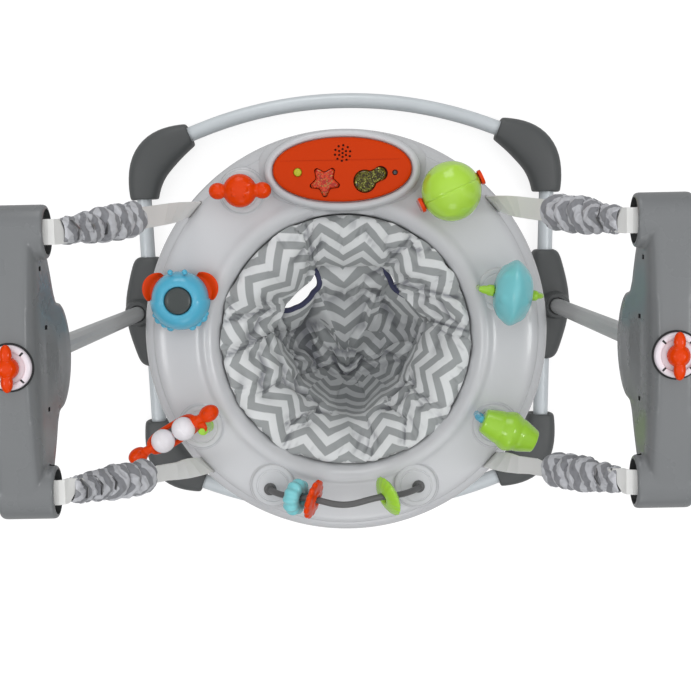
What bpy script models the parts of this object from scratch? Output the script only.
"""Free-standing baby activity jumper.

A tubular base with four corner feet carries two uprights, one on each side. Each upright
ends in a hollow T-shaped tower, and four webbing straps with coil springs hang a round
toy tray from the towers. A fabric seat on a plastic ring turns in the middle of the tray.

Metres, +Z up. X runs from the left tower to the right one, +Y points at the sound panel,
and the origin is on the floor under the middle of the base.
"""

import math

import bmesh
import bpy
from mathutils import Matrix, Vector

# Clearances between neighbouring pieces
GAP = 0.0003
RUNNING_GAP = 0.0005

# Base frame
TUBE_RADIUS = 0.0127
TUBE_HEIGHT = 0.030
ARC_RADIUS = 0.70
REAR_REACH = 0.357
FRONT_REACH = 0.353
REAR_ARC_HALF_WIDTH = 0.250
FRONT_ARC_HALF_WIDTH = 0.243
ARC_TAIL = 0.055
SIDE_TUBE_X = 0.3425
SIDE_TUBE_LEAN = 0.0317
REAR_FOOT_MOUTH = 0.194
FRONT_FOOT_MOUTH = 0.193
SOCKET_DEPTH = 0.038
FOOT_HEIGHT = 0.056
FOOT_MOUTH_HALF_WIDTH = 0.0195
FOOT_BULGE = 0.0155

# Leg brackets and uprights
UPRIGHT_X = 0.357
BRACKET_HALF_LENGTH = 0.095
BRACKET_HALF_WIDTH = 0.0255
BRACKET_BULGE = 0.0080
BRACKET_HEIGHT = 0.066
COLLAR_TOP = 0.098
COLLAR_RADIUS = 0.0205
UPRIGHT_BOTTOM = 0.0465
UPRIGHT_TOP = 0.842

# Towers
TOWER_ARM_Y = 0.144
TOWER_ARM_Z = 0.860
TOWER_ARM_HALF_WIDTH = 0.030
TOWER_ARM_HALF_HEIGHT = 0.0265
TOWER_CROWN = 0.0115
TOWER_WAIST_Z = 0.7650
TOWER_DEPTH = 0.0275
TOWER_WALL = 0.0026
BELLY_RADIUS = 0.0622
BELLY_Z = 0.7700
BELLY_DROP = 0.0575
BELLY_SWELL = 0.0055
BOSS_PROUD = 0.0095
BOSS_LENGTH = 0.020
DIAL_RADIUS = 0.0245
DIAL_THICKNESS = 0.006
SPINNER_HEIGHT = 0.016

# Suspension
STRAP_WIDTH = 0.028
STRAP_FOLDED_WIDTH = 0.0206
STRAP_THICKNESS = 0.0018
STRAP_FOLD_THICKNESS = 0.0066
STRAP_SLOT_WIDTH = 0.0315
STRAP_SLOT_HEIGHT = 0.0045
STRAP_EXIT_Z = 0.866
STRAP_BEND = 0.011
SPRING_WIRE = 0.0014
SPRING_RADIUS = 0.0136
SPRING_TURNS = 5
SPRING_START = 0.040
SPRING_LENGTH = 0.185
SLEEVE_START = 0.021
SLEEVE_LENGTH = 0.228
SLEEVE_RADIUS = 0.0225
SLEEVE_CUFF_RADIUS = 0.0165
SLEEVE_BORE = 0.0178
SLEEVE_CUFF_BORE = 0.0148

# Tray
TRAY_Y = -0.0125
TRAY_RADIUS = 0.297
TRAY_TOP = 0.420
TRAY_DEPTH = 0.062
TRAY_LIP_Z = TRAY_TOP - TRAY_DEPTH
TRAY_WALL = 0.003
SEAT_Y = -0.0225
SEAT_HOLE_RADIUS = 0.1815
TRAY_SEGMENTS = 36
SLOT_RADIUS = 0.2825
REAR_SLOT_ANGLE = math.radians(40.5)
FRONT_SLOT_ANGLE = math.radians(42.5)
SLOT_DROP = 0.0143
SLOT_Z = TRAY_TOP - SLOT_DROP
PAD_RADIUS = 0.031
PAD_HEIGHT = 0.0065
PAD_TOP = TRAY_TOP + PAD_HEIGHT
BASE_DROP = 0.006
TRACK_THICKNESS = 0.008
BASE_BOTTOM = TRAY_LIP_Z - BASE_DROP
TRACK_FLOOR = BASE_BOTTOM + TRACK_THICKNESS
RING_RADIUS = 0.1872
RING_WIDTH = 0.0163
TRACK_RADIUS = RING_RADIUS + RING_WIDTH
RING_HEIGHT = 0.029
RING_TOP = TRACK_FLOOR + RING_HEIGHT

# Sound panel
PANEL_Y = 0.2217
PANEL_HALF_LENGTH = 0.097
PANEL_HALF_WIDTH = 0.0445
POD_MARGIN = 0.0125
POD_RISE = 0.0320
PANEL_RISE = 0.0110
BUTTON_FLOOR_RISE = 0.0025
POD_TOP = TRAY_TOP + POD_RISE
PANEL_TOP = POD_TOP + PANEL_RISE
BUTTON_FLOOR = POD_TOP + BUTTON_FLOOR_RISE
BUTTON_TRAVEL = 0.0025
BUTTON_PROUD = 0.0045
STAR_CENTRE = (-0.0247, 0.2055)
STAR_RADIUS = 0.0205
LOBE_CENTRE = (0.0313, 0.2046)
LOBE_RADIUS = 0.0150
SMALL_LOBE_OFFSET = (0.0205, 0.0098)
SMALL_LOBE_RADIUS = 0.0095
POWER_CENTRE = (-0.0622, 0.2187)
POWER_RADIUS = 0.0062
SPEAKER_CENTRE = (0.0010, 0.2442)
SPEAKER_HOLE = 0.0011

# Toys on the tray
BUG_CENTRE = (-0.1438, 0.1951)
BUG_RADIUS = 0.0225
BUG_LOBE_RADIUS = 0.0105
BUG_LOBE_REACH = 0.0325
BUG_RISE = 0.0400
BUG_Z = TRAY_TOP + BUG_RISE

BALL_RISE = 0.0610
BALL_CENTRE = (0.1505, 0.1880, TRAY_TOP + BALL_RISE)
BALL_RADIUS = 0.0415
BALL_TURN = math.radians(24.0)
YOKE_THICKNESS = 0.0045
YOKE_HALF_WIDTH = 0.0085

ROLLER_RISE = 0.0590
ROLLER_CENTRE = (0.2345, 0.0455, TRAY_TOP + ROLLER_RISE)
ROLLER_TURN = math.radians(-8.0)
ROLLER_RADIUS = 0.0460
ROLLER_HALF_WIDTH = 0.0265
ARCH_RADIUS = 0.0042
ARCH_REACH = 0.0430

DRUM_PAD = (0.2130, -0.1493)
DRUM_RISE = 0.0590
DRUM_CENTRE = (0.2280, -0.1490, TRAY_TOP + DRUM_RISE)
DRUM_TURN = math.radians(-24.0)
DRUM_RADIUS = 0.0275
DRUM_HALF_LENGTH = 0.0400
STEM_RADIUS = 0.0050

BATON_PAD = (-0.2127, -0.1433)
BATON_PIVOT = (-0.2049, -0.1412)
BATON_TURN = math.radians(210.0)
BATON_RISE = 0.0580
BATON_Z = TRAY_TOP + BATON_RISE
BATON_OFFSET = 0.0165
BATON_BULB_NEAR = -0.0212
BATON_BULB_FAR = 0.0958
BATON_BULB_RADIUS = 0.0118
BATON_FRAME_HALF_WIDTH = 0.0205
BATON_FRAME_HALF_LENGTH = 0.0345
BATON_BAR_RADIUS = 0.0036
BATON_CENTRE = 0.0378
BALL_BEAD_RADIUS = 0.0155

CRAB_CENTRE = (-0.2348, 0.0427)
CRAB_RADIUS = 0.0430
CRAB_RISE = 0.0500
CRAB_TOP = TRAY_TOP + CRAB_RISE
CRAB_BUTTON_RADIUS = 0.0190
CRAB_BUTTON_TRAVEL = 0.0030
CLAW_RADIUS = 0.0500
CLAW_THICKNESS = 0.0070

WIRE_RADIUS = 0.0046
WIRE_PAD_LEFT = (-0.1104, -0.2316)
WIRE_PAD_RIGHT = (0.0974, -0.2353)
WIRE_POST_LEFT = (-0.1146, -0.2365)
WIRE_POST_RIGHT = (0.1015, -0.2373)
WIRE_RISE = 0.0650
WIRE_TOP = TRAY_TOP + WIRE_RISE
BEAD_CLEARANCE = 0.0004


def linear(red, green, blue):
    """Colour of a surface given as 0 to 255 screen values."""
    return tuple((value / 255.0) ** 2.2 for value in (red, green, blue))


# Colour, roughness and metallic value of each kind of surface
TRAY_PLASTIC = (linear(208, 208, 211), 0.25, 0.0)
ORANGE_PLASTIC = (linear(216, 67, 15), 0.28, 0.0)
LIME_PLASTIC = (linear(158, 206, 64), 0.30, 0.0)
TEAL_PLASTIC = (linear(95, 171, 178), 0.30, 0.0)
BLUE_PLASTIC = (linear(74, 154, 184), 0.30, 0.0)
WHITE_PLASTIC = (linear(232, 230, 232), 0.28, 0.0)
DARK_PLASTIC = (linear(75, 76, 75), 0.45, 0.0)
TOWER_PLASTIC = (linear(128, 131, 131), 0.22, 0.0)
GREY_BUTTON = (linear(79, 83, 80), 0.35, 0.0)
PAINTED_TUBE = (linear(160, 166, 170), 0.35, 0.2)
SPRING_STEEL = (linear(150, 150, 152), 0.30, 1.0)
WIRE_COATING = (linear(92, 92, 92), 0.40, 0.0)
WEBBING = (linear(214, 214, 212), 0.80, 0.0)
SEAT_FABRIC = (linear(172, 174, 174), 0.90, 0.0)
GLITTER_RED = (linear(214, 70, 30), 0.15, 0.0)
GLITTER_GREEN = (linear(120, 150, 40), 0.15, 0.0)

# Scene set-up: one collection for the pieces and one for their cutters
for leftover in list(bpy.data.objects):
    bpy.data.objects.remove(leftover, do_unlink=True)

PARTS = bpy.data.collections.new("activity_jumper")
CUTTERS = bpy.data.collections.new("cutters")
bpy.context.scene.collection.children.link(PARTS)
bpy.context.scene.collection.children.link(CUTTERS)


# General helpers

def surface(name, finish):
    """Principled material of one piece."""
    colour, roughness, metallic = finish
    material = bpy.data.materials.new(name + "_finish")
    material.use_nodes = True
    shader = material.node_tree.nodes["Principled BSDF"]
    shader.inputs["Base Color"].default_value = (*colour, 1.0)
    shader.inputs["Roughness"].default_value = roughness
    shader.inputs["Metallic"].default_value = metallic
    material.diffuse_color = (*colour, 1.0)
    return material


def piece(name, data, finish, place=None, sharp=35.0):
    """One named sub-part from a mesh or a curve."""
    item = bpy.data.objects.new(name, data)
    data.materials.clear()
    data.materials.append(surface(name, finish))
    if place is not None:
        item.matrix_world = place
    PARTS.objects.link(item)
    if item.type == "MESH":
        data.shade_smooth()
        data.set_sharp_from_angle(angle=math.radians(sharp))
    return item


def cutter(name, data, place=None):
    """A hidden body that is cut from a piece or joined to it."""
    item = bpy.data.objects.new(name, data)
    if place is not None:
        item.matrix_world = place
    item.hide_render = True
    item.display_type = "WIRE"
    CUTTERS.objects.link(item)
    return item


def combine(item, other, operation):
    """Boolean of a piece with a hidden body."""
    step = item.modifiers.new(other.name, "BOOLEAN")
    step.operation = operation
    step.solver = "EXACT"
    step.object = other
    return step


def mesh_from(build, name):
    """Mesh made by a function that fills a bmesh."""
    form = bmesh.new()
    build(form)
    mesh = bpy.data.meshes.new(name)
    form.to_mesh(mesh)
    form.free()
    return mesh


def fitted(radius, sides, gap=GAP):
    """Radius of a many-sided bore that clears a round pin all the way round."""
    return (radius + gap) / math.cos(math.pi / sides)


def cylinder_mesh(name, radius, length, sides=16, top_radius=None):
    """Closed cylinder or cone frustum along Z, centred on the origin."""
    top = radius if top_radius is None else top_radius

    def build(form):
        bmesh.ops.create_cone(form, cap_ends=True, segments=sides, radius1=radius,
                              radius2=top, depth=length)
    return mesh_from(build, name)


def box_mesh(name, size):
    """Closed box centred on the origin."""
    def build(form):
        bmesh.ops.create_cube(form, size=1.0)
        bmesh.ops.scale(form, vec=size, verts=form.verts)
    return mesh_from(build, name)


def sphere_mesh(name, radius, segments=20, rings=12, scale=(1.0, 1.0, 1.0)):
    """Closed ball, stretched if asked."""
    def build(form):
        bmesh.ops.create_uvsphere(form, u_segments=segments, v_segments=rings, radius=radius)
        bmesh.ops.scale(form, vec=scale, verts=form.verts)
    return mesh_from(build, name)


def loft_mesh(name, sections, triangles=False):
    """Skin through rings of points; triangles are for a skin whose four-sided faces twist."""
    def build(form):
        rings = [[form.verts.new(point) for point in section] for section in sections]
        for low, high in zip(rings, rings[1:]):
            for index in range(len(low)):
                after = (index + 1) % len(low)
                form.faces.new((low[index], low[after], high[after], high[index]))
        form.faces.new(list(reversed(rings[0])))
        form.faces.new(rings[-1])
        bmesh.ops.recalc_face_normals(form, faces=form.faces)
        if triangles:
            bmesh.ops.triangulate(form, faces=form.faces)
    return mesh_from(build, name)


def turned_piece(name, profile, finish, steps, place=None, closed=False, sharp=35.0):
    """Profile of (radius, height) points turned about the piece's own Z axis."""
    mesh = bpy.data.meshes.new(name)
    points = [(radius, 0.0, height) for radius, height in profile]
    edges = [(index, index + 1) for index in range(len(points) - 1)]
    if closed:
        edges.append((len(points) - 1, 0))
    mesh.from_pydata(points, edges, [])
    item = piece(name, mesh, finish, place, sharp)
    add_screw(item, steps)
    return item


def add_screw(item, steps):
    """Full turn about Z that welds its first and last rows."""
    turn = item.modifiers.new("turn", "SCREW")
    turn.axis = "Z"
    turn.angle = math.tau
    turn.steps = steps
    turn.render_steps = steps
    turn.use_merge_vertices = True
    turn.merge_threshold = 0.00001
    turn.use_smooth_shade = True


def rod(name, points, radius, finish, sides_step=4, closed=False):
    """Round bar along a run of points."""
    curve = bpy.data.curves.new(name, "CURVE")
    curve.dimensions = "3D"
    curve.bevel_depth = radius
    curve.bevel_resolution = sides_step
    curve.use_fill_caps = True
    line = curve.splines.new("POLY")
    line.points.add(len(points) - 1)
    for slot, point in zip(line.points, points):
        slot.co = (*point, 1.0)
    line.use_cyclic_u = closed
    return piece(name, curve, finish)


def rod_mesh(name, points, radius, sides_step=2, closed=False):
    """The same bar as a closed mesh, for cutting and joining."""
    source = rod(name + "_path", points, radius, WIRE_COATING, sides_step, closed)
    bpy.context.view_layer.update()
    graph = bpy.context.evaluated_depsgraph_get()
    mesh = bpy.data.meshes.new_from_object(source.evaluated_get(graph))
    bpy.data.objects.remove(source, do_unlink=True)
    form = bmesh.new()
    form.from_mesh(mesh)
    bmesh.ops.remove_doubles(form, verts=form.verts, dist=0.00001)
    bmesh.ops.recalc_face_normals(form, faces=form.faces)
    form.to_mesh(mesh)
    form.free()
    mesh.name = name
    return mesh


def plate(name, outline, thickness, finish, place=None):
    """Flat outline in the XY plane with its thickness centred on it."""
    curve = bpy.data.curves.new(name, "CURVE")
    curve.dimensions = "2D"
    curve.fill_mode = "BOTH"
    curve.extrude = thickness / 2.0
    line = curve.splines.new("POLY")
    line.points.add(len(outline) - 1)
    for slot, (x, y) in zip(line.points, outline):
        slot.co = (x, y, 0.0, 1.0)
    line.use_cyclic_u = True
    return piece(name, curve, finish, place)


def prism_mesh(name, outline, bottom, top):
    """Closed upright prism on a flat outline."""
    return loft_mesh(name, [[(x, y, bottom) for x, y in outline],
                            [(x, y, top) for x, y in outline]])


def circle(radius, sides, centre=(0.0, 0.0), start=0.0):
    """Points round a circle in the plane."""
    return [(centre[0] + radius * math.cos(start + math.tau * index / sides),
             centre[1] + radius * math.sin(start + math.tau * index / sides))
            for index in range(sides)]


def toward(direction):
    """Rotation that takes +Z to a direction."""
    return Vector(direction).to_track_quat("Z", "Y").to_matrix().to_4x4()


def smooth_step(value):
    """Ease from 0 to 1."""
    value = min(1.0, max(0.0, value))
    return value * value * (3.0 - 2.0 * value)


# Base frame: arcs, side tubes, feet and leg brackets

def side_tube_x(y):
    """Distance of a side tube from the middle; the tubes close in towards the front."""
    return SIDE_TUBE_X + SIDE_TUBE_LEAN * y


def arc_frame(reach, half_width):
    """End of the round stretch of an arc tube and its direction there, at +X and +Y."""
    angle = math.asin(half_width / ARC_RADIUS)
    end = Vector((half_width, reach - ARC_RADIUS * (1.0 - math.cos(angle)), TUBE_HEIGHT))
    return end, Vector((math.cos(angle), -math.sin(angle), 0.0)), angle


def arc_tube(name, reach, half_width, side):
    """Bowed tube across the base with a straight tail at each end."""
    end, direction, angle = arc_frame(reach, half_width)
    steps = 9
    points = []
    for index in range(steps + 1):
        turn = angle * (2.0 * index / steps - 1.0)
        points.append(Vector((ARC_RADIUS * math.sin(turn),
                              reach - ARC_RADIUS * (1.0 - math.cos(turn)), TUBE_HEIGHT)))
    tail = end + direction * ARC_TAIL
    points = [Vector((-tail.x, tail.y, tail.z)), *points, tail]
    rod(name, [(point.x, side * point.y, point.z) for point in points],
        TUBE_RADIUS, PAINTED_TUBE)


def foot_section(centre, across, half_width, height):
    """Flat-bottomed rounded section of a foot or bracket, across its run."""
    shape = ((-0.80, 0.0), (0.80, 0.0), (1.0, 0.14), (1.0, 0.58), (0.80, 0.86),
             (0.36, 1.0), (-0.36, 1.0), (-0.80, 0.86), (-1.0, 0.58), (-1.0, 0.14))
    return [centre + across * (s * half_width) + Vector((0.0, 0.0, h * height))
            for s, h in shape]


def corner_foot(name, side_x, side_y, reach, half_width, mouth_y):
    """Moulded elbow that joins an arc tube to a side tube and stands on the floor."""
    end, direction, _ = arc_frame(reach, half_width)
    arc_mouth = end + direction * (ARC_TAIL - SOCKET_DEPTH)
    signed_mouth = side_y * mouth_y
    side_mouth = Vector((side_tube_x(signed_mouth), mouth_y, 0.0))
    lean = Vector((side_y * SIDE_TUBE_LEAN, 1.0, 0.0)).normalized()
    first = Vector((arc_mouth.x, arc_mouth.y, 0.0))
    knots = (first, first + direction * 0.054, side_mouth + lean * 0.070, side_mouth)
    stations = 8
    sections = []
    for index in range(stations + 1):
        t = index / stations
        a, b, c, d = knots
        point = (a * (1 - t) ** 3 + b * (3 * t * (1 - t) ** 2)
                 + c * (3 * t * t * (1 - t)) + d * t ** 3)
        run = ((b - a) * (3 * (1 - t) ** 2) + (c - b) * (6 * t * (1 - t))
               + (d - c) * (3 * t * t)).normalized()
        across = Vector((-run.y, run.x, 0.0))
        swell = math.sin(math.pi * t)
        width = FOOT_MOUTH_HALF_WIDTH + FOOT_BULGE * swell
        height = FOOT_HEIGHT - 0.007 * (1.0 - swell)
        section = foot_section(point, across, width, height)
        sections.append([(side_x * p.x, side_y * p.y, p.z) for p in section])
    foot = piece(name, loft_mesh(name, sections), DARK_PLASTIC, sharp=50.0)
    sides = 16
    bore = fitted(TUBE_RADIUS, sides)
    arc_run = Vector((side_x * direction.x, side_y * direction.y, 0.0))
    arc_point = Vector((side_x * end.x, side_y * end.y, TUBE_HEIGHT))
    arc_end = arc_point + arc_run * (ARC_TAIL + GAP)
    side_run = Vector((side_x * SIDE_TUBE_LEAN * side_y, 1.0 * side_y, 0.0)).normalized()
    side_point = Vector((side_x * side_tube_x(signed_mouth), signed_mouth, TUBE_HEIGHT))
    side_end = side_point + side_run * (SOCKET_DEPTH + GAP)
    for label, stop, run in (("arc", arc_end, arc_run), ("side", side_end, side_run)):
        length = SOCKET_DEPTH + 0.030
        place = Matrix.Translation(stop - run * (length / 2.0)) @ toward(run)
        hole = cutter(f"{name}_{label}_bore", cylinder_mesh(name + label, bore, length, sides),
                      place)
        combine(foot, hole, "DIFFERENCE")


def side_tube(name, side_x):
    """Straight tube that runs from a rear foot through the leg bracket to a front foot."""
    def at(y):
        return (side_x * side_tube_x(y), y, TUBE_HEIGHT)
    slant = math.hypot(1.0, SIDE_TUBE_LEAN)
    rear = REAR_FOOT_MOUTH + SOCKET_DEPTH / slant
    front = -FRONT_FOOT_MOUTH - SOCKET_DEPTH / slant
    rod(name, [at(rear), at(0.5 * rear), at(0.5 * front), at(front)], TUBE_RADIUS, PAINTED_TUBE)


def leg_bracket(name, side_x):
    """Moulded block on the side tube with rounded ends and the socket of the upright."""
    centre_x = side_tube_x(0.0)
    sections = []
    for share, corner in ((-1.0, 0.66), (-0.93, 0.92), (-0.80, 1.0), (-0.42, 1.0), (0.0, 1.0),
                          (0.42, 1.0), (0.80, 1.0), (0.93, 0.92), (1.0, 0.66)):
        y = BRACKET_HALF_LENGTH * share
        swell = math.cos(0.5 * math.pi * share)
        shift = (UPRIGHT_X - centre_x) * swell * 0.75
        centre = Vector((side_x * (side_tube_x(y) + shift), y, 0.0))
        width = BRACKET_HALF_WIDTH * corner + BRACKET_BULGE * swell
        height = 0.050 + (BRACKET_HEIGHT - 0.050) * swell
        sections.append(foot_section(centre, Vector((1.0, 0.0, 0.0)), width, height))
    bracket = piece(name, loft_mesh(name, sections), DARK_PLASTIC, sharp=50.0)
    low = 0.040
    collar = cutter(name + "_collar",
                    cylinder_mesh(name + "_collar", COLLAR_RADIUS + 0.004,
                                  COLLAR_TOP - low, 20, COLLAR_RADIUS),
                    Matrix.Translation((side_x * UPRIGHT_X, 0.0, (COLLAR_TOP + low) / 2.0)))
    combine(bracket, collar, "UNION")
    sides = 16
    run = Vector((side_x * SIDE_TUBE_LEAN, 1.0, 0.0)).normalized()
    bore = cutter(name + "_tube_bore",
                  cylinder_mesh(name + "_tube_bore", fitted(TUBE_RADIUS, sides), 0.30, sides),
                  Matrix.Translation((side_x * centre_x, 0.0, TUBE_HEIGHT)) @ toward(run))
    combine(bracket, bore, "DIFFERENCE")
    floor_z = UPRIGHT_BOTTOM - GAP
    length = COLLAR_TOP + 0.02 - floor_z
    socket = cutter(name + "_socket",
                    cylinder_mesh(name + "_socket", fitted(TUBE_RADIUS, sides), length, sides),
                    Matrix.Translation((side_x * UPRIGHT_X, 0.0, floor_z + length / 2.0)))
    combine(bracket, socket, "DIFFERENCE")


def upright(name, side_x):
    """Vertical tube from the leg bracket into the tower."""
    rod(name, [(side_x * UPRIGHT_X, 0.0, UPRIGHT_BOTTOM), (side_x * UPRIGHT_X, 0.0, 0.4),
               (side_x * UPRIGHT_X, 0.0, UPRIGHT_TOP)], TUBE_RADIUS, PAINTED_TUBE)


def base_frame():
    """Everything that stands on the floor."""
    arc_tube("rear_tube", REAR_REACH, REAR_ARC_HALF_WIDTH, 1.0)
    arc_tube("front_tube", FRONT_REACH, FRONT_ARC_HALF_WIDTH, -1.0)
    for label, side_x in (("left", -1.0), ("right", 1.0)):
        side_tube(label + "_side_tube", side_x)
        corner_foot(label + "_rear_foot", side_x, 1.0, REAR_REACH, REAR_ARC_HALF_WIDTH,
                    REAR_FOOT_MOUTH)
        corner_foot(label + "_front_foot", side_x, -1.0, FRONT_REACH, FRONT_ARC_HALF_WIDTH,
                    FRONT_FOOT_MOUTH)
        leg_bracket(label + "_leg_bracket", side_x)
        upright(label + "_upright", side_x)


# Towers: two half shells each, with a dial and a spinner on top

def tower_top(y):
    """Upper edge of the tower's outline at a distance from its middle."""
    if y >= TOWER_ARM_Y:
        reach = (y - TOWER_ARM_Y) / TOWER_ARM_HALF_WIDTH
        return TOWER_ARM_Z + TOWER_ARM_HALF_HEIGHT * math.sqrt(max(0.0, 1.0 - reach ** 2))
    crown = TOWER_CROWN * (1.0 - (y / TOWER_ARM_Y) ** 2)
    return TOWER_ARM_Z + TOWER_ARM_HALF_HEIGHT + crown


def tower_bottom(y):
    """Lower edge: an oval arm end, a waist that deepens inwards, and a round belly."""
    if y >= TOWER_ARM_Y:
        reach = (y - TOWER_ARM_Y) / TOWER_ARM_HALF_WIDTH
        return TOWER_ARM_Z - TOWER_ARM_HALF_HEIGHT * math.sqrt(max(0.0, 1.0 - reach ** 2))
    if y < BELLY_RADIUS:
        return BELLY_Z - BELLY_DROP * math.sqrt(1.0 - (y / BELLY_RADIUS) ** 2)
    arm_low = TOWER_ARM_Z - TOWER_ARM_HALF_HEIGHT
    return TOWER_WAIST_Z + (arm_low - TOWER_WAIST_Z) * (y / TOWER_ARM_Y) ** 2.2


def tower_depth(y, z):
    """How far a shell stands out from the tower's middle plane."""
    reach = math.hypot(y / BELLY_RADIUS, (z - BELLY_Z) / BELLY_DROP)
    return TOWER_DEPTH + BELLY_SWELL * smooth_step(1.6 - 1.25 * reach)


def tower_shell_mesh(name, out):
    """Half shell on the outline, open at the middle plane; out is -1 or +1 along X."""
    end = TOWER_ARM_Y + TOWER_ARM_HALF_WIDTH
    columns = [0.0, 0.016, 0.032, 0.046, 0.056, BELLY_RADIUS, 0.080, 0.105, 0.126,
               TOWER_ARM_Y, 0.160, 0.170, end]
    columns = [-y for y in reversed(columns[1:])] + columns
    rows = ((-1.0, 0.0), (-1.0, 0.50), (-0.94, 0.86), (-0.82, 1.0), (-0.30, 1.0), (0.25, 1.0),
            (0.74, 1.0), (0.94, 0.86), (1.0, 0.50), (1.0, 0.0))

    def build(form):
        grid = []
        for y in columns:
            low = tower_bottom(abs(y))
            high = tower_top(abs(y))
            column = []
            for v, share in rows:
                z = low + (high - low) * (v + 1.0) / 2.0
                along = 0.45 + 0.55 * (1.0 - (abs(y) / end) ** 16) ** (1.0 / 6.0)
                depth = min(share, along) * tower_depth(y, z)
                column.append(form.verts.new((out * (GAP / 2.0 + depth), y, z)))
            grid.append(column)
        for left, right in zip(grid, grid[1:]):
            for index in range(len(rows) - 1):
                corners = (left[index], right[index], right[index + 1], left[index + 1])
                form.faces.new(corners if out > 0 else tuple(reversed(corners)))
        bmesh.ops.remove_doubles(form, verts=form.verts, dist=0.00001)
    return mesh_from(build, name)


def tower_shell(name, side_x, inner):
    """One moulded half of a tower; the inner half carries the two strap bosses."""
    out = -side_x if inner else side_x
    shell = piece(name, tower_shell_mesh(name, out), TOWER_PLASTIC,
                  Matrix.Translation((side_x * UPRIGHT_X, 0.0, 0.0)), sharp=60.0)
    wall = shell.modifiers.new("wall", "SOLIDIFY")
    wall.thickness = TOWER_WALL
    wall.offset = -1.0
    sides = 16
    length = UPRIGHT_TOP - BELLY_Z + BELLY_DROP
    bore = cutter(name + "_bore", cylinder_mesh(name, fitted(TUBE_RADIUS, sides), length, sides),
                  Matrix.Translation((side_x * UPRIGHT_X, 0.0, BELLY_Z - BELLY_DROP)))
    if inner:
        face = side_x * UPRIGHT_X + out * (TOWER_DEPTH + BOSS_PROUD)
        middle = face - out * BOSS_LENGTH / 2.0
        flat = Matrix.Diagonal((1.0, 1.0, TOWER_ARM_HALF_HEIGHT / TOWER_ARM_HALF_WIDTH, 1.0))
        for label, y in (("rear", TOWER_ARM_Y), ("front", -TOWER_ARM_Y)):
            boss = cutter(f"{name}_{label}_boss",
                          cylinder_mesh(name, TOWER_ARM_HALF_WIDTH - 0.001, BOSS_LENGTH, 20),
                          Matrix.Translation((middle, y, TOWER_ARM_Z)) @ flat
                          @ toward((1, 0, 0)))
            combine(shell, boss, "UNION")
            slot = cutter(f"{name}_{label}_slot",
                          box_mesh(name, (BOSS_LENGTH * 1.5, STRAP_SLOT_WIDTH,
                                          STRAP_SLOT_HEIGHT)),
                          Matrix.Translation((middle, y, STRAP_EXIT_Z)))
            combine(shell, slot, "DIFFERENCE")
    combine(shell, bore, "DIFFERENCE")


def dial(name, side_x):
    """Raised white ring on top of a tower with a low dome inside it."""
    low = TOWER_ARM_Z + TOWER_ARM_HALF_HEIGHT + TOWER_CROWN + GAP
    profile = [(0.0, DIAL_THICKNESS - 0.0015), (0.0165, DIAL_THICKNESS - 0.0015),
               (0.0185, DIAL_THICKNESS), (DIAL_RADIUS - 0.002, DIAL_THICKNESS),
               (DIAL_RADIUS, DIAL_THICKNESS - 0.002), (DIAL_RADIUS, 0.0), (0.0, 0.0)]
    turned_piece(name, profile, WHITE_PLASTIC, 20,
                 Matrix.Translation((side_x * UPRIGHT_X, 0.0, low)))


def spinner(name, side_x):
    """Orange hub with two rounded blades that turns on the dial."""
    low = TOWER_ARM_Z + TOWER_ARM_HALF_HEIGHT + TOWER_CROWN + GAP + DIAL_THICKNESS - 0.0015 + GAP
    place = (Matrix.Translation((side_x * UPRIGHT_X, 0.0, low))
             @ Matrix.Rotation(0.0 if side_x < 0 else math.pi / 2, 4, "Z"))
    profile = [(0.0, SPINNER_HEIGHT), (0.006, SPINNER_HEIGHT - 0.001),
               (0.0105, SPINNER_HEIGHT - 0.0045), (0.0128, SPINNER_HEIGHT - 0.009),
               (0.0128, 0.002), (0.011, 0.0), (0.0, 0.0)]
    hub = turned_piece(name, profile, ORANGE_PLASTIC, 16, place)
    for label, reach in (("a", 0.0155), ("b", -0.0155)):
        blade = cutter(f"{name}_blade_{label}",
                       sphere_mesh(name, 0.0085, 10, 6, (0.75, 1.25, 0.55)),
                       place @ Matrix.Translation((0.0, reach, 0.0090)))
        combine(hub, blade, "UNION")


def towers():
    """Both towers."""
    for label, side_x in (("left", -1.0), ("right", 1.0)):
        tower_shell(label + "_tower_inner", side_x, True)
        tower_shell(label + "_tower_outer", side_x, False)
        dial(label + "_dial", side_x)
        spinner(label + "_spinner", side_x)


# Suspension: a strap, a coil spring round it and a fabric sleeve over the spring

def strap_ends(side_x, side_y):
    """Where a strap turns down at the tower, and where it enters the tray."""
    face_x = UPRIGHT_X - TOWER_DEPTH - BOSS_PROUD
    top = Vector((side_x * (face_x - STRAP_BEND), side_y * TOWER_ARM_Y,
                  STRAP_EXIT_Z - STRAP_BEND))
    angle = REAR_SLOT_ANGLE if side_y > 0 else FRONT_SLOT_ANGLE
    bottom = Vector((side_x * SLOT_RADIUS * math.cos(angle),
                     TRAY_Y + side_y * SLOT_RADIUS * math.sin(angle), SLOT_Z))
    return top, bottom


def strap_across(side_x, side_y):
    """Width direction of a strap on its straight run, and where it lies along the tray's edge."""
    top, bottom = strap_ends(side_x, side_y)
    run = (bottom - top).normalized()
    high = Vector((-run.y, run.x, 0.0)).normalized()
    if high.y < 0:
        high = -high
    low = Vector((-(bottom.y - TRAY_Y), bottom.x, 0.0))
    low = (low - run * low.dot(run)).normalized()
    if low.dot(high) < 0:
        low = -low
    return high, low


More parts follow.
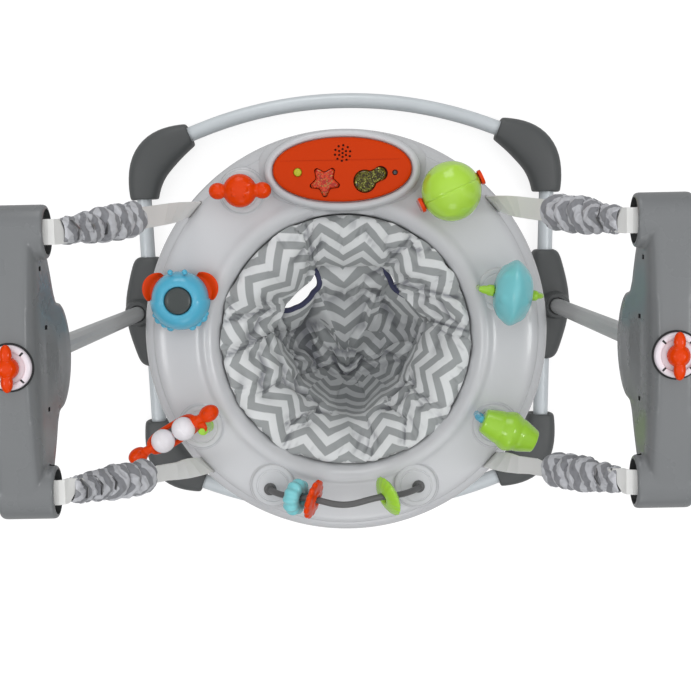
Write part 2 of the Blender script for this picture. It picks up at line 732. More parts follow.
def strap(name, side_x, side_y):
    """Webbing with a sewn fold at each end that can't pull through its slot."""
    top, bottom = strap_ends(side_x, side_y)
    run = (bottom - top).normalized()
    across, tangent = strap_across(side_x, side_y)
    along_y = Vector((0.0, 1.0, 0.0))
    face_x = UPRIGHT_X - TOWER_DEPTH - BOSS_PROUD
    inside = face_x + BOSS_LENGTH + GAP
    y = side_y * TOWER_ARM_Y
    inward = Vector((-side_x, 0.0, 0.0))
    full = STRAP_WIDTH / 2.0
    thin = STRAP_THICKNESS / 2.0
    thick = STRAP_FOLD_THICKNESS / 2.0
    narrow = STRAP_FOLDED_WIDTH / 2.0
    length = (bottom - top).length
    bend = STRAP_BEND
    stations = [
        (Vector((side_x * (inside + 0.007), y, STRAP_EXIT_Z)), inward, along_y, full, thick),
        (Vector((side_x * (inside + 0.0005), y, STRAP_EXIT_Z)), inward, along_y, full, thick),
        (Vector((side_x * inside, y, STRAP_EXIT_Z)), inward, along_y, full, thin),
        (Vector((side_x * (face_x - 0.25 * bend), y, STRAP_EXIT_Z - 0.02 * bend)),
         inward, along_y, full, thin),
        (Vector((side_x * (face_x - 0.75 * bend), y, STRAP_EXIT_Z - 0.30 * bend)),
         (inward + run).normalized(), along_y, full, thin),
        (top, (run * 3.0 + inward).normalized(), along_y, full, thin),
    ]
    for distance, half in ((SLEEVE_START, full), (SPRING_START - 0.006, narrow),
                           (SPRING_START + SPRING_LENGTH + 0.006, narrow),
                           (SLEEVE_START + SLEEVE_LENGTH, full), (0.32, full)):
        stations.append((top + run * distance, run, across, half, thin))
    for share in (0.25, 0.5, 0.75):
        turned = (across * (1.0 - share) + tangent * share).normalized()
        stations.append((top + run * (0.32 + (length - 0.33) * share), run, turned, full, thin))
    under = 0.0150
    stations += [
        (top + run * (length - 0.010), run, tangent, full, thin),
        (top + run * (length + under), run, tangent, full, thin),
        (top + run * (length + under + 0.0005), run, tangent, full, thick),
        (top + run * (length + under + 0.0120), run, tangent, full, thick),
    ]
    sections = []
    for centre, along, wide, half_width, half_thickness in stations:
        deep = along.cross(wide).normalized()
        sections.append([centre + wide * (a * half_width) + deep * (b * half_thickness)
                         for a, b in ((-1, -1), (1, -1), (1, 1), (-1, 1))])
    piece(name, loft_mesh(name, sections, True), WEBBING)


def spring(name, side_x, side_y):
    """Tension spring wound round the strap, inside the sleeve."""
    top, bottom = strap_ends(side_x, side_y)
    run = (bottom - top).normalized()
    across, _ = strap_across(side_x, side_y)
    deep = run.cross(across)
    steps_a_turn = 7
    points = []
    for index in range(SPRING_TURNS * steps_a_turn + 1):
        share = index / (SPRING_TURNS * steps_a_turn)
        turn = math.tau * SPRING_TURNS * share
        points.append(top + run * (SPRING_START + SPRING_LENGTH * share)
                      + (across * math.cos(turn) + deep * math.sin(turn)) * SPRING_RADIUS)
    rod(name, points, SPRING_WIRE, SPRING_STEEL, 1)


def sleeve(name, side_x, side_y):
    """Gathered fabric tube over the spring, snug on the strap at both ends."""
    top, bottom = strap_ends(side_x, side_y)
    run = (bottom - top).normalized()
    length = SLEEVE_LENGTH
    profile = [(SLEEVE_CUFF_RADIUS, length), (SLEEVE_RADIUS, length * 0.86),
               (SLEEVE_RADIUS - 0.002, length * 0.66), (SLEEVE_RADIUS + 0.001, length * 0.46),
               (SLEEVE_RADIUS - 0.001, length * 0.24), (SLEEVE_CUFF_RADIUS, 0.0),
               (SLEEVE_CUFF_BORE, 0.0), (SLEEVE_BORE, length * 0.08),
               (SLEEVE_BORE, length * 0.92), (SLEEVE_CUFF_BORE, length)]
    place = Matrix.Translation(top + run * (SLEEVE_START + length)) @ toward(-run)
    turned_piece(name, profile, SEAT_FABRIC, 12, place, closed=True, sharp=60.0)


def suspension():
    """Four hangers."""
    for x_label, side_x in (("left", -1.0), ("right", 1.0)):
        for y_label, side_y in (("rear", 1.0), ("front", -1.0)):
            label = f"{x_label}_{y_label}"
            strap(label + "_strap", side_x, side_y)
            spring(label + "_spring", side_x, side_y)
            sleeve(label + "_sleeve", side_x, side_y)


# Tray

def tray_ring(radius, share):
    """Turned tray ring whose centre moves from the seat's axis to the tray's."""
    return radius, SEAT_Y + (TRAY_Y - SEAT_Y) * share


def tray_mesh():
    """Top skin of the tray: outer lip, shoulder, flat ring, raised ridge and inner rim."""
    hole = SEAT_HOLE_RADIUS
    edge = TRAY_RADIUS
    profile = [(edge, TRAY_LIP_Z, 1.0), (edge, TRAY_LIP_Z + 0.011, 1.0),
               (edge - 0.004, TRAY_LIP_Z + 0.028, 1.0), (edge - 0.010, TRAY_TOP - 0.0180, 1.0),
               (edge - 0.022, TRAY_TOP - 0.0080, 1.0), (edge - 0.045, TRAY_TOP - 0.0020, 0.9),
               (hole + 0.034, TRAY_TOP, 0.4), (hole + 0.023, TRAY_TOP + 0.0060, 0.1),
               (hole + 0.014, TRAY_TOP + 0.0020, 0.0), (hole + 0.004, TRAY_TOP - 0.0150, 0.0),
               (hole, TRAY_TOP - 0.0280, 0.0)]

    def build(form):
        rings = []
        for radius, height, share in profile:
            _, centre = tray_ring(radius, share)
            rings.append([form.verts.new((x, y, height))
                          for x, y in circle(radius, TRAY_SEGMENTS, (0.0, centre))])
        for outer, inner in zip(rings, rings[1:]):
            for index in range(TRAY_SEGMENTS):
                after = (index + 1) % TRAY_SEGMENTS
                form.faces.new((outer[index], outer[after], inner[after], inner[index]))
    return mesh_from(build, "tray")


def arch_feet():
    """Where the two legs of the roller's arch stand."""
    turn = Matrix.Rotation(ROLLER_TURN, 4, "Z")
    centre = Vector((ROLLER_CENTRE[0], ROLLER_CENTRE[1], 0.0))
    return [centre + turn @ Vector((side * ARCH_REACH, 0.0, 0.0)) for side in (-1.0, 1.0)]


def toy_pads():
    """Centre, radius and foot height of the round raised seats that the toys stand on."""
    near, far = arch_feet()
    low = TRAY_TOP - 0.0045
    return {
        "bug": (*BUG_CENTRE, PAD_RADIUS, low), "ball": (*BALL_CENTRE[:2], PAD_RADIUS, low),
        "drum": (*DRUM_PAD, PAD_RADIUS, low), "baton": (*BATON_PAD, PAD_RADIUS, low),
        "crab": (*CRAB_CENTRE, 0.0170, low), "wire_left": (*WIRE_PAD_LEFT, PAD_RADIUS, low),
        "wire_right": (*WIRE_PAD_RIGHT, PAD_RADIUS, low),
        "arch_near": (near.x, near.y, 0.0085, low),
        "arch_far": (far.x, far.y, 0.0085, TRAY_TOP - 0.0200),
    }


def ellipse(half_length, half_width, sides, centre=(0.0, 0.0)):
    """Points round an ellipse in the plane."""
    return [(centre[0] + half_length * x, centre[1] + half_width * y)
            for x, y in circle(1.0, sides)]


def tray():
    """Upper moulding of the tray with the panel pod, the toy pads and the strap slots."""
    body = piece("tray", tray_mesh(), TRAY_PLASTIC, sharp=40.0)
    wall = body.modifiers.new("wall", "SOLIDIFY")
    wall.thickness = TRAY_WALL
    wall.offset = -1.0
    pod_length = PANEL_HALF_LENGTH + POD_MARGIN
    pod_width = PANEL_HALF_WIDTH + POD_MARGIN
    sections = []
    for share, height in ((1.06, TRAY_TOP - 0.0060), (1.03, TRAY_TOP + 0.012),
                          (0.99, POD_TOP - 0.004), (0.94, POD_TOP)):
        outline = ellipse(pod_length * share, pod_width * share, 28, (0.0, PANEL_Y))
        sections.append([(x, y, height) for x, y in outline])
    combine(body, cutter("panel_pod", loft_mesh("panel_pod", sections)), "UNION")
    for label, (x, y, radius, low) in toy_pads().items():
        pad = cutter(label + "_pad",
                     cylinder_mesh(label, radius, PAD_TOP - low, 16, radius - 0.0015),
                     Matrix.Translation((x, y, (PAD_TOP + low) / 2.0)))
        combine(body, pad, "UNION")
    for side_x in (-1.0, 1.0):
        for side_y in (-1.0, 1.0):
            top, bottom = strap_ends(side_x, side_y)
            run = (bottom - top).normalized()
            _, tangent = strap_across(side_x, side_y)
            turn = Matrix((tangent, run.cross(tangent), run)).transposed().to_4x4()
            slot = cutter(f"slot_{side_x}_{side_y}",
                          box_mesh("slot", (STRAP_SLOT_WIDTH, STRAP_SLOT_HEIGHT, 0.05)),
                          Matrix.Translation(bottom) @ turn)
            combine(body, slot, "DIFFERENCE")


def tray_base():
    """Lower moulding: closes the tray from below and holds the seat ring's track."""
    wall = 0.003
    outer = TRAY_RADIUS - TRAY_WALL - 0.0004
    profile = [(outer, TRAY_LIP_Z + 0.008), (outer, TRAY_LIP_Z - 0.001),
               (outer - 0.007, BASE_BOTTOM), (RING_RADIUS + 0.002, BASE_BOTTOM),
               (RING_RADIUS - 0.0007, BASE_BOTTOM + 0.003), (RING_RADIUS - 0.0007, TRACK_FLOOR),
               (TRACK_RADIUS, TRACK_FLOOR), (TRACK_RADIUS, TRACK_FLOOR + 0.014),
               (TRACK_RADIUS + wall, TRACK_FLOOR + 0.014),
               (TRACK_RADIUS + wall, BASE_BOTTOM + wall), (outer - 0.009, BASE_BOTTOM + wall),
               (outer - wall, TRAY_LIP_Z + 0.008)]
    mesh_points = []
    for radius, height in profile:
        share = smooth_step((radius - TRACK_RADIUS - wall) / (outer - TRACK_RADIUS - 2 * wall))
        mesh_points.append((radius, height, SEAT_Y + (TRAY_Y - SEAT_Y) * share))

    def build(form):
        rings = []
        for radius, height, centre in mesh_points:
            rings.append([form.verts.new((x, y, height))
                          for x, y in circle(radius, TRAY_SEGMENTS, (0.0, centre))])
        for first, second in zip(rings, rings[1:] + rings[:1]):
            for index in range(TRAY_SEGMENTS):
                after = (index + 1) % TRAY_SEGMENTS
                form.faces.new((first[index], second[index], second[after], first[after]))
        bmesh.ops.recalc_face_normals(form, faces=form.faces)
    piece("tray_base", mesh_from(build, "tray_base"), TRAY_PLASTIC)
    door_length, door_width, door_thickness, corner = 0.084, 0.046, 0.0025, 0.006
    outline = []
    for cx, cy, start in ((1, 1, 0.0), (-1, 1, 0.5), (-1, -1, 1.0), (1, -1, 1.5)):
        for step in range(4):
            angle = math.pi * (start + step / 6.0)
            outline.append((cx * (door_length / 2 - corner) + corner * math.cos(angle),
                            cy * (door_width / 2 - corner) + corner * math.sin(angle)))
    plate("battery_door", outline, door_thickness, TRAY_PLASTIC,
          Matrix.Translation((0.0, 0.226, BASE_BOTTOM - GAP - door_thickness / 2.0)))


# Sound panel

def star_outline(radius, grow=0.0):
    """Five blunt points."""
    points = []
    for index in range(5):
        angle = math.pi / 2 + math.tau * index / 5
        tip = radius + grow
        for turn, reach in ((-0.12, tip * 0.97), (0.12, tip * 0.97),
                            (math.pi / 5, radius * 0.60 + grow)):
            points.append((reach * math.cos(angle + turn), reach * math.sin(angle + turn)))
    return points


def lobes_outline(grow=0.0):
    """A large and a small round lobe run together."""
    big = LOBE_RADIUS + grow
    small = SMALL_LOBE_RADIUS + grow
    offset = Vector(SMALL_LOBE_OFFSET)
    heading = math.atan2(offset.y, offset.x)
    points = []
    for index in range(17):
        angle = heading + math.radians(38) + math.radians(284) * index / 16
        points.append((big * math.cos(angle), big * math.sin(angle)))
    for index in range(9):
        angle = heading - math.radians(112) + math.radians(224) * index / 8
        points.append((offset.x + small * math.cos(angle), offset.y + small * math.sin(angle)))
    return points


def panel_button(name, outline, centre, finish, crown=0.0015):
    """Push button with a softly crowned top."""
    low = BUTTON_FLOOR + BUTTON_TRAVEL + GAP
    high = PANEL_TOP + BUTTON_PROUD - 0.001
    sections = []
    for share, height in ((1.0, low), (1.0, high - crown), (0.90, high - 0.3 * crown),
                          (0.72, high)):
        sections.append([(x * share, y * share, height) for x, y in outline])
    piece(name, loft_mesh(name, sections), finish,
          Matrix.Translation((centre[0], centre[1], 0.0)))


def sound_panel():
    """Orange oval housing with three buttons and a round group of speaker holes."""
    sections = []
    for share, height in ((1.0, POD_TOP + GAP), (1.0, PANEL_TOP - 0.0045),
                          (0.97, PANEL_TOP - 0.0015), (0.90, PANEL_TOP - 0.0003),
                          (0.80, PANEL_TOP)):
        outline = ellipse(PANEL_HALF_LENGTH - 0.0445 * (1 - share),
                          PANEL_HALF_WIDTH - 0.0445 * (1 - share), 28, (0.0, PANEL_Y))
        sections.append([(x, y, height) for x, y in outline])
    housing = piece("panel_housing", loft_mesh("panel_housing", sections), ORANGE_PLASTIC)
    outlines = (("star", star_outline(STAR_RADIUS, RUNNING_GAP), STAR_CENTRE),
                ("lobes", lobes_outline(RUNNING_GAP), LOBE_CENTRE),
                ("power", circle(POWER_RADIUS + RUNNING_GAP, 16), POWER_CENTRE))
    for label, outline, centre in outlines:
        pocket = cutter(label + "_pocket",
                        prism_mesh(label, outline, BUTTON_FLOOR, PANEL_TOP + 0.01),
                        Matrix.Translation((centre[0], centre[1], 0.0)))
        combine(housing, pocket, "DIFFERENCE")
    def pierce(form):
        for count, reach in ((4, 0.0027), (8, 0.0066)):
            for x, y in circle(reach, count, SPEAKER_CENTRE, math.pi / 4):
                bmesh.ops.create_cone(form, cap_ends=True, segments=6, radius1=SPEAKER_HOLE,
                                      radius2=SPEAKER_HOLE, depth=0.012,
                                      matrix=Matrix.Translation((x, y, PANEL_TOP + 0.003)))
    holes = cutter("speaker_holes", mesh_from(pierce, "speaker_holes"))
    combine(housing, holes, "DIFFERENCE")
    panel_button("star_button", star_outline(STAR_RADIUS), STAR_CENTRE, GLITTER_RED)
    panel_button("two_lobe_button", lobes_outline(), LOBE_CENTRE, GLITTER_GREEN)
    panel_button("power_button", circle(POWER_RADIUS, 16), POWER_CENTRE, LIME_PLASTIC)


# Toys

def bug_toy():
    """Round orange toy with two side lobes that turns on a short white post."""
    x, y = BUG_CENTRE
    post_top = BUG_Z - BUG_RADIUS * 0.62
    turned_piece("bug_post", [(0.0, post_top - GAP), (0.0095, post_top - GAP),
                              (0.0095, PAD_TOP + 0.004), (0.0150, PAD_TOP + GAP),
                              (0.0, PAD_TOP + GAP)],
                 WHITE_PLASTIC, 16, Matrix.Translation((x, y, 0.0)))
    profile = [(0.0, 0.0175), (0.0080, 0.0165), (0.0150, 0.0128), (0.0200, 0.0075),
               (BUG_RADIUS, 0.0), (0.0205, -0.0080), (0.0150, -BUG_RADIUS * 0.62),
               (0.0, -BUG_RADIUS * 0.62)]
    body = turned_piece("bug_toy", profile, ORANGE_PLASTIC, 20,
                        Matrix.Translation((x, y, BUG_Z)))
    for label, side in (("left", -1.0), ("right", 1.0)):
        lobe = cutter(f"bug_{label}_lobe",
                      sphere_mesh("bug_lobe", BUG_LOBE_RADIUS, 14, 8, (1.15, 1.0, 0.85)),
                      Matrix.Translation((x + side * BUG_LOBE_REACH, y, BUG_Z - 0.001)))
        combine(body, lobe, "UNION")


def rattle_ball():
    """Green ball on an axle between the two arms of an orange yoke."""
    centre = Vector(BALL_CENTRE)
    turn = Matrix.Translation(centre) @ Matrix.Rotation(BALL_TURN, 4, "Z")
    arm = BALL_RADIUS + 0.0012
    outer = arm + YOKE_THICKNESS
    drop = centre.z - PAD_TOP - GAP
    path = [(-arm, 0.006), (-arm, -drop + YOKE_THICKNESS * 0.8),
            (arm, -drop + YOKE_THICKNESS * 0.8), (arm, 0.006),
            (outer, 0.006), (outer, -drop), (-outer, -drop), (-outer, 0.006)]
    half = YOKE_HALF_WIDTH
    sections = [[(x, -half, z) for x, z in path], [(x, half, z) for x, z in path]]
    yoke = piece("ball_yoke", loft_mesh("ball_yoke", sections), ORANGE_PLASTIC, turn)
    for label, side in (("low", -1.0), ("high", 1.0)):
        disc = cutter(f"yoke_{label}_disc",
                      cylinder_mesh("yoke_disc", 0.0105, YOKE_THICKNESS, 20),
                      turn @ Matrix.Translation((side * (arm + outer) / 2, 0.0, 0.0))
                      @ toward((1, 0, 0)))
        combine(yoke, disc, "UNION")
        pin = cutter(f"yoke_{label}_pin", cylinder_mesh("yoke_pin", 0.0030, 0.010, 12),
                     turn @ Matrix.Translation((side * (arm - 0.0035), 0.0, 0.0))
                     @ toward((1, 0, 0)))
        combine(yoke, pin, "UNION")
    steps = 8
    dimple = BALL_RADIUS - 0.0095
    profile = [(0.0, dimple), (0.0034, dimple), (0.0036, BALL_RADIUS - 0.0004)]
    for index in range(1, steps):
        angle = math.pi * index / steps
        profile.append((BALL_RADIUS * math.sin(angle), BALL_RADIUS * math.cos(angle)))
    profile += [(0.0036, -BALL_RADIUS + 0.0004), (0.0034, -dimple), (0.0, -dimple)]
    turned_piece("rattle_ball", profile, LIME_PLASTIC, 20, turn @ toward((1, 0, 0)))


def bun_roller():
    """Teal bun-shaped roller on the cross bar of a lime arch."""
    centre = Vector(ROLLER_CENTRE)
    turn = Matrix.Translation(centre) @ Matrix.Rotation(ROLLER_TURN, 4, "Z")
    drop = centre.z - PAD_TOP - GAP
    path = [(-ARCH_REACH, 0.0, -drop), (-ARCH_REACH, 0.0, -drop + 0.020),
            (-ARCH_REACH + 0.003, 0.0, -0.012), (-ARCH_REACH + 0.008, 0.0, -0.002),
            (-ARCH_REACH + 0.013, 0.0, 0.0),
            (ARCH_REACH - 0.013, 0.0, 0.0), (ARCH_REACH - 0.008, 0.0, -0.002),
            (ARCH_REACH - 0.003, 0.0, -0.012), (ARCH_REACH, 0.0, -drop + 0.020),
            (ARCH_REACH, 0.0, -drop)]
    points = [turn @ Vector(point) for point in path]
    rod("roller_arch", points, ARCH_RADIUS, LIME_PLASTIC, 3)
    bore = fitted(ARCH_RADIUS, 20, RUNNING_GAP)
    half = ROLLER_HALF_WIDTH
    profile = [(bore, half), (0.0150, half), (0.0290, half - 0.0035), (0.0400, half - 0.0105),
               (ROLLER_RADIUS, 0.006), (ROLLER_RADIUS, -0.006), (0.0400, -half + 0.0105),
               (0.0290, -half + 0.0035), (0.0150, -half), (bore, -half)]
    turned_piece("bun_roller", profile, TEAL_PLASTIC, 20, turn @ toward((1, 0, 0)), closed=True)


def ribbed_drum():
    """Lime ribbed drum on a blue fork that leans out over the tray's edge."""
    centre = Vector(DRUM_CENTRE)
    turn = Matrix.Translation(centre) @ Matrix.Rotation(DRUM_TURN, 4, "Z")
    axle_end = DRUM_HALF_LENGTH + 0.0060
    inner = turn @ Vector((-axle_end, 0.0, 0.0))
    foot = Vector((DRUM_PAD[0], DRUM_PAD[1], PAD_TOP + GAP + 0.0006))
    start = turn @ Vector((0.5 * DRUM_HALF_LENGTH, 0.0, 0.0))
    knee = Vector((inner.x, inner.y, PAD_TOP + 0.0090))
    points = [foot, foot + Vector((0.0, 0.0, 0.0040)),
              (foot + Vector((0.0, 0.0, 0.0070))).lerp(knee, 0.35), knee,
              knee + Vector((0.0, 0.0, 0.010)),
              inner + Vector((0.0, 0.0, -0.010)), inner + (start - inner).normalized() * 0.003,
              start]
    rod("drum_fork", points, STEM_RADIUS, BLUE_PLASTIC, 3)
    bore = fitted(STEM_RADIUS, 20, RUNNING_GAP)
    half = DRUM_HALF_LENGTH
    ribs = ((1.00, 0.52), (0.92, 0.66), (0.78, 0.86), (0.60, 1.00), (0.42, 0.93), (0.22, 1.00),
            (0.02, 0.93), (-0.20, 1.00), (-0.40, 0.93), (-0.60, 0.97), (-0.84, 0.70),
            (-1.00, 0.56))
    bore_end = -0.5 * DRUM_HALF_LENGTH - 0.0010
    profile = [(0.0, half)] + [(DRUM_RADIUS * share, half * along) for along, share in ribs]
    profile += [(bore, -half), (bore, -bore_end), (0.0, -bore_end)]
    turned_piece("ribbed_drum", profile, LIME_PLASTIC, 20, turn @ toward((1, 0, 0)))


def baton_toy():
    """Orange baton with a double bar round two white balls, swinging on a lime post."""
    pivot = Vector((BATON_PIVOT[0], BATON_PIVOT[1], BATON_Z))
    turn = Matrix.Translation(pivot) @ Matrix.Rotation(BATON_TURN, 4, "Z")
    post_top = BATON_Z + 0.004
    profile = [(0.0, post_top), (0.0045, post_top), (0.0045, BATON_Z - 0.0085),
               (0.0075, BATON_Z - 0.0090), (0.0090, PAD_TOP + 0.010), (0.0110, PAD_TOP + GAP),
               (0.0, PAD_TOP + GAP)]
    turned_piece("baton_post", profile, LIME_PLASTIC, 16,
                 Matrix.Translation((pivot.x, pivot.y, 0.0)))
    centre = BATON_CENTRE
    aside = -BATON_OFFSET
    wide = BATON_FRAME_HALF_WIDTH
    half = BATON_FRAME_HALF_LENGTH
    corner = 0.65 * wide
    loop = [(centre - half - 0.002, aside), (centre - half, aside + corner),
            (centre - half + 0.009, aside + wide), (centre + half - 0.009, aside + wide),
            (centre + half, aside + corner), (centre + half + 0.002, aside)]
    loop += [(x, 2.0 * aside - y) for x, y in reversed(loop[1:-1])]
    hub = cylinder_mesh("baton_toy", 0.0095, 0.0150, 16)
    baton = piece("baton_toy", hub, ORANGE_PLASTIC, turn)
    bars = [("crank", [(0.0, 0.0), (0.0, aside)], 0.0050, False),
            ("spine", [(BATON_BULB_NEAR, aside), (centre - half + 0.0005, aside)], 0.0054, False),
            ("axle", [(centre - half - 0.001, aside), (centre + half + 0.001, aside)],
             0.0026, False),
            ("double_bar", loop, BATON_BAR_RADIUS, True),
            ("tip", [(centre + half - 0.0005, aside), (BATON_BULB_FAR, aside)], 0.0054, False)]
    for label, path, radius, closed in bars:
        points = [(x, y, 0.0) for x, y in path]
        bar = cutter("baton_" + label, rod_mesh("baton_" + label, points, radius, 1, closed), turn)
        combine(baton, bar, "UNION")
    for label, x in (("near", BATON_BULB_NEAR), ("far", BATON_BULB_FAR)):
        bulb = cutter(f"baton_{label}_bulb",
                      sphere_mesh("bulb", BATON_BULB_RADIUS, 14, 8, (1.35, 1.0, 0.95)),
                      turn @ Matrix.Translation((x, aside, 0.0)))
        combine(baton, bulb, "UNION")
    bore = cutter("baton_bore",
                  cylinder_mesh("baton_bore", fitted(0.0045, 16, RUNNING_GAP), 0.04, 16), turn)
    combine(baton, bore, "DIFFERENCE")
    reach = BALL_BEAD_RADIUS
    for label, offset in (("near", -reach - 0.0002), ("far", reach + 0.0002)):
        hole = fitted(0.0026, 16, RUNNING_GAP)
        profile = [(hole, reach * 0.97)]
        for index in range(1, 6):
            angle = math.pi * (0.08 + 0.84 * index / 6)
            profile.append((reach * math.sin(angle), reach * math.cos(angle)))
        profile.append((hole, -reach * 0.97))
        turned_piece(f"baton_{label}_ball", profile, WHITE_PLASTIC, 16,
                     turn @ Matrix.Translation((centre + offset, aside, 0.0))
                     @ toward((1, 0, 0)), closed=True)


def crab_toy():
    """Blue rounded toy with a grey push button, short legs and an orange claw plate."""
    x, y = CRAB_CENTRE
    place = Matrix.Translation((x, y, 0.0))
    claw_low = PAD_TOP + 0.0010
    claw_high = claw_low + CLAW_THICKNESS
    body_low = claw_high + 0.0008
    hub = 0.012
    body_profile = [(0.0, CRAB_TOP - 0.003), (0.0215, CRAB_TOP - 0.003), (0.0235, CRAB_TOP),
                    (0.0300, CRAB_TOP - 0.0015), (0.0375, CRAB_TOP - 0.0080),
                    (CRAB_RADIUS, CRAB_TOP - 0.0200), (CRAB_RADIUS - 0.001, body_low),
                    (hub, body_low), (hub, PAD_TOP + GAP), (0.0, PAD_TOP + GAP)]
    body = turned_piece("crab_body", body_profile, BLUE_PLASTIC, 24, place)
    for index, angle in enumerate((-2.55, -2.22, -1.90, -0.50, -0.80, -1.10)):
        reach = CRAB_RADIUS - 0.001
        leg = cutter(f"crab_leg_{index}", sphere_mesh("crab_leg", 0.0065, 8, 6),
                     place @ Matrix.Translation((reach * math.cos(angle),
                                                 reach * math.sin(angle), CRAB_TOP - 0.0250)))
        combine(body, leg, "UNION")
    floor_z = CRAB_TOP - 0.0110
    pocket = cutter("crab_pocket",
                    cylinder_mesh("crab_pocket", fitted(CRAB_BUTTON_RADIUS, 20, RUNNING_GAP),
                                  0.04, 20), place @ Matrix.Translation((0, 0, floor_z + 0.02)))
    combine(body, pocket, "DIFFERENCE")
    high = CRAB_TOP + 0.0030
    low = floor_z + CRAB_BUTTON_TRAVEL + GAP
    turned_piece("crab_button", [(0.0, high), (0.0140, high), (0.0175, high - 0.0012),
                                 (CRAB_BUTTON_RADIUS, high - 0.0035), (CRAB_BUTTON_RADIUS, low),
                                 (0.0, low)], GREY_BUTTON, 20, place)
    outline = []
    for sign in (1.0, -1.0):
        arc = []
        for index in range(9):
            angle = math.pi / 2 - sign * math.radians(22 + 62 * index / 8)
            reach = CLAW_RADIUS + 0.0015 * math.sin(math.pi * index / 8)
            arc.append((reach * math.cos(angle), reach * math.sin(angle)))
        web = [(0.036 * math.cos(math.pi / 2 - sign * math.radians(96)),
                0.036 * math.sin(math.pi / 2 - sign * math.radians(96)))]
        if sign > 0:
            outline += arc + web
        else:
            outline += [(-0.012, -0.030), (0.012, -0.030)][::-1] + web + list(reversed(arc))
    claws = plate("crab_claws_sheet", outline, CLAW_THICKNESS, ORANGE_PLASTIC)
    bpy.context.view_layer.update()
    graph = bpy.context.evaluated_depsgraph_get()
    mesh = bpy.data.meshes.new_from_object(claws.evaluated_get(graph))
    bpy.data.objects.remove(claws, do_unlink=True)
    form = bmesh.new()
    form.from_mesh(mesh)
    bmesh.ops.remove_doubles(form, verts=form.verts, dist=0.00001)
    bmesh.ops.recalc_face_normals(form, faces=form.faces)
    form.to_mesh(mesh)
    form.free()
    claw_place = Matrix.Translation((x, y, (claw_low + claw_high) / 2.0))
    claw_piece = piece("crab_claws", mesh, ORANGE_PLASTIC, claw_place)
    bore = cutter("crab_claws_bore",
                  cylinder_mesh("crab_claws_bore", fitted(hub, 24, RUNNING_GAP), 0.04, 24),
                  claw_place)
    combine(claw_piece, bore, "DIFFERENCE")


def wire_point(share):
    """Point of the bead wire between its two posts, 0 to 1 from left to right."""
    left = Vector((*WIRE_POST_LEFT, PAD_TOP))
    right = Vector((*WIRE_POST_RIGHT, PAD_TOP))
    base = left.lerp(right, share)
    rise = min(1.0, math.sin(math.pi * share) ** 0.55 * 1.02)
    wave = math.sin(math.pi * share) * (0.0085 + 0.0035 * math.cos(4.0 * math.pi * share))
    return Vector((base.x, base.y - wave, PAD_TOP + (WIRE_TOP - PAD_TOP) * rise))


def bead_wire():
    """Coated wire bowed over the front of the tray."""
    count = 18
    points = [wire_point(index / count) for index in range(count + 1)]
    foot = Vector((0.0, 0.0, GAP))
    knee = Vector((0.0, 0.0, 0.011))
    points = [points[0] + foot, points[0] + knee, *points[1:-1],
              points[-1] + knee, points[-1] + foot]
    rod("bead_wire", points, WIRE_RADIUS, WIRE_COATING, 2)


def bead(name, share, profile, finish, steps):
    """Turned bead threaded on the wire."""
    here = wire_point(share)
    along = (wire_point(share + 0.01) - wire_point(share - 0.01)).normalized()
    turned_piece(name, profile, finish, steps,
                 Matrix.Translation(here) @ toward(along), closed=True)


def beads():
    """Three beads on the wire."""
    hole = fitted(WIRE_RADIUS, 16, BEAD_CLEARANCE) + 0.0010
    bead("teal_bead", 0.185, [(hole, 0.0115), (0.0170, 0.0115), (0.0245, 0.0070),
                              (0.0270, 0.0), (0.0245, -0.0070), (0.0170, -0.0115),
                              (hole, -0.0115)], TEAL_PLASTIC, 16)
    snug = fitted(WIRE_RADIUS, 16, BEAD_CLEARANCE)
    bead("orange_bead", 0.300, [(snug, 0.0070), (0.0130, 0.0070), (0.0150, 0.0045),
                                (0.0260, 0.0040), (0.0285, 0.0), (0.0260, -0.0040),
                                (0.0150, -0.0045), (0.0130, -0.0070), (snug, -0.0070)],
         ORANGE_PLASTIC, 16)
    bead("green_bead", 0.790, [(hole, 0.0100), (0.0120, 0.0100), (0.0230, 0.0060),
                               (0.0305, 0.0), (0.0230, -0.0060), (0.0120, -0.0100),
                               (hole, -0.0100)], LIME_PLASTIC, 16)


# Seat

def seat_ring():
    """Plastic ring that carries the fabric and turns on the tray's track."""
    outer = TRACK_RADIUS * math.cos(math.pi / TRAY_SEGMENTS) - RUNNING_GAP
    low = TRACK_FLOOR + GAP
    profile = [(outer, low + 0.012), (outer, low), (RING_RADIUS, low), (RING_RADIUS, RING_TOP),
               (RING_RADIUS + 0.0033, RING_TOP), (RING_RADIUS + 0.0033, low + 0.012)]
    turned_piece("seat_ring", profile, DARK_PLASTIC, TRAY_SEGMENTS,
                 Matrix.Translation((0.0, SEAT_Y, 0.0)), closed=True)


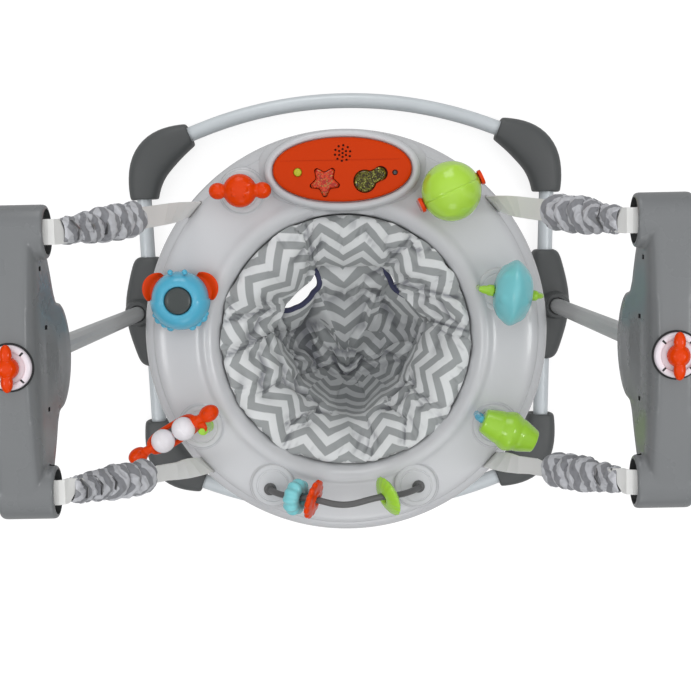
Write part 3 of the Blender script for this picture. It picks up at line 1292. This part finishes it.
def seat_pad():
    """Fabric bag with a padded rim and two leg openings towards the panel."""
    snug = RING_RADIUS - GAP
    rim = SEAT_HOLE_RADIUS * math.cos(math.pi / TRAY_SEGMENTS) - RUNNING_GAP
    bag = [(0.045, -0.0640, 0.2500), (0.088, -0.0490, 0.2250), (0.111, -0.0320, 0.1700),
           (0.121, -0.0200, 0.1250), (0.133, -0.0100, 0.0900), (0.158, -0.0020, 0.0670)]
    collar = [(snug, 0.0, RING_TOP - 0.0210), (snug, 0.0, RING_TOP - 0.0030),
              (rim, 0.0, RING_TOP + 0.0020)]
    bowl = [(rim, 0.0, 0.0170), (0.1710, 0.0, 0.0065), (0.1580, 0.0, 0.0080),
            (0.1320, 0.0, 0.0350), (0.1110, -0.0040, 0.0640), (0.1060, -0.0140, 0.1000),
            (0.1000, -0.0300, 0.1650), (0.0790, -0.0480, 0.2150), (0.0400, -0.0630, 0.2390)]
    rings = [(radius, shift, TRAY_TOP - drop) for radius, shift, drop in bag]
    rings += collar
    rings += [(radius, shift, TRAY_TOP - drop) for radius, shift, drop in bowl]
    segments = TRAY_SEGMENTS

    def build(form):
        rows = []
        for radius, shift, height in rings:
            rows.append([form.verts.new((px, py, height))
                         for px, py in circle(radius, segments, (0.0, shift))])
        low = form.verts.new((0.0, -0.0670, TRAY_TOP - 0.2540))
        high = form.verts.new((0.0, -0.0660, TRAY_TOP - 0.2435))
        for first, second in zip(rows, rows[1:]):
            for index in range(segments):
                after = (index + 1) % segments
                form.faces.new((first[index], first[after], second[after], second[index]))
        for index in range(segments):
            after = (index + 1) % segments
            form.faces.new((low, rows[0][after], rows[0][index]))
            form.faces.new((high, rows[-1][index], rows[-1][after]))
        bmesh.ops.recalc_face_normals(form, faces=form.faces)
    pad = piece("seat_pad", mesh_from(build, "seat_pad"), SEAT_FABRIC,
                Matrix.Translation((0.0, SEAT_Y, 0.0)), sharp=60.0)
    for label, side in (("left", -1.0), ("right", 1.0)):
        heading = math.radians(90.0 - side * 42.0)
        direction = Vector((math.cos(heading), math.sin(heading), -0.35)).normalized()
        centre = Vector((0.112 * math.cos(heading), 0.095 * math.sin(heading),
                         TRAY_TOP - 0.1520))
        hole = cutter(f"{label}_leg_hole",
                      cylinder_mesh("leg_hole", 0.046, 0.12, 20),
                      Matrix.Translation((0.0, SEAT_Y, 0.0)) @ Matrix.Translation(centre)
                      @ toward(direction) @ Matrix.Diagonal((1.12, 1.0, 1.0, 1.0)))
        combine(pad, hole, "DIFFERENCE")


base_frame()
towers()
suspension()
tray()
tray_base()
sound_panel()
bug_toy()
rattle_ball()
bun_roller()
ribbed_drum()
baton_toy()
crab_toy()
bead_wire()
beads()
seat_ring()
seat_pad()
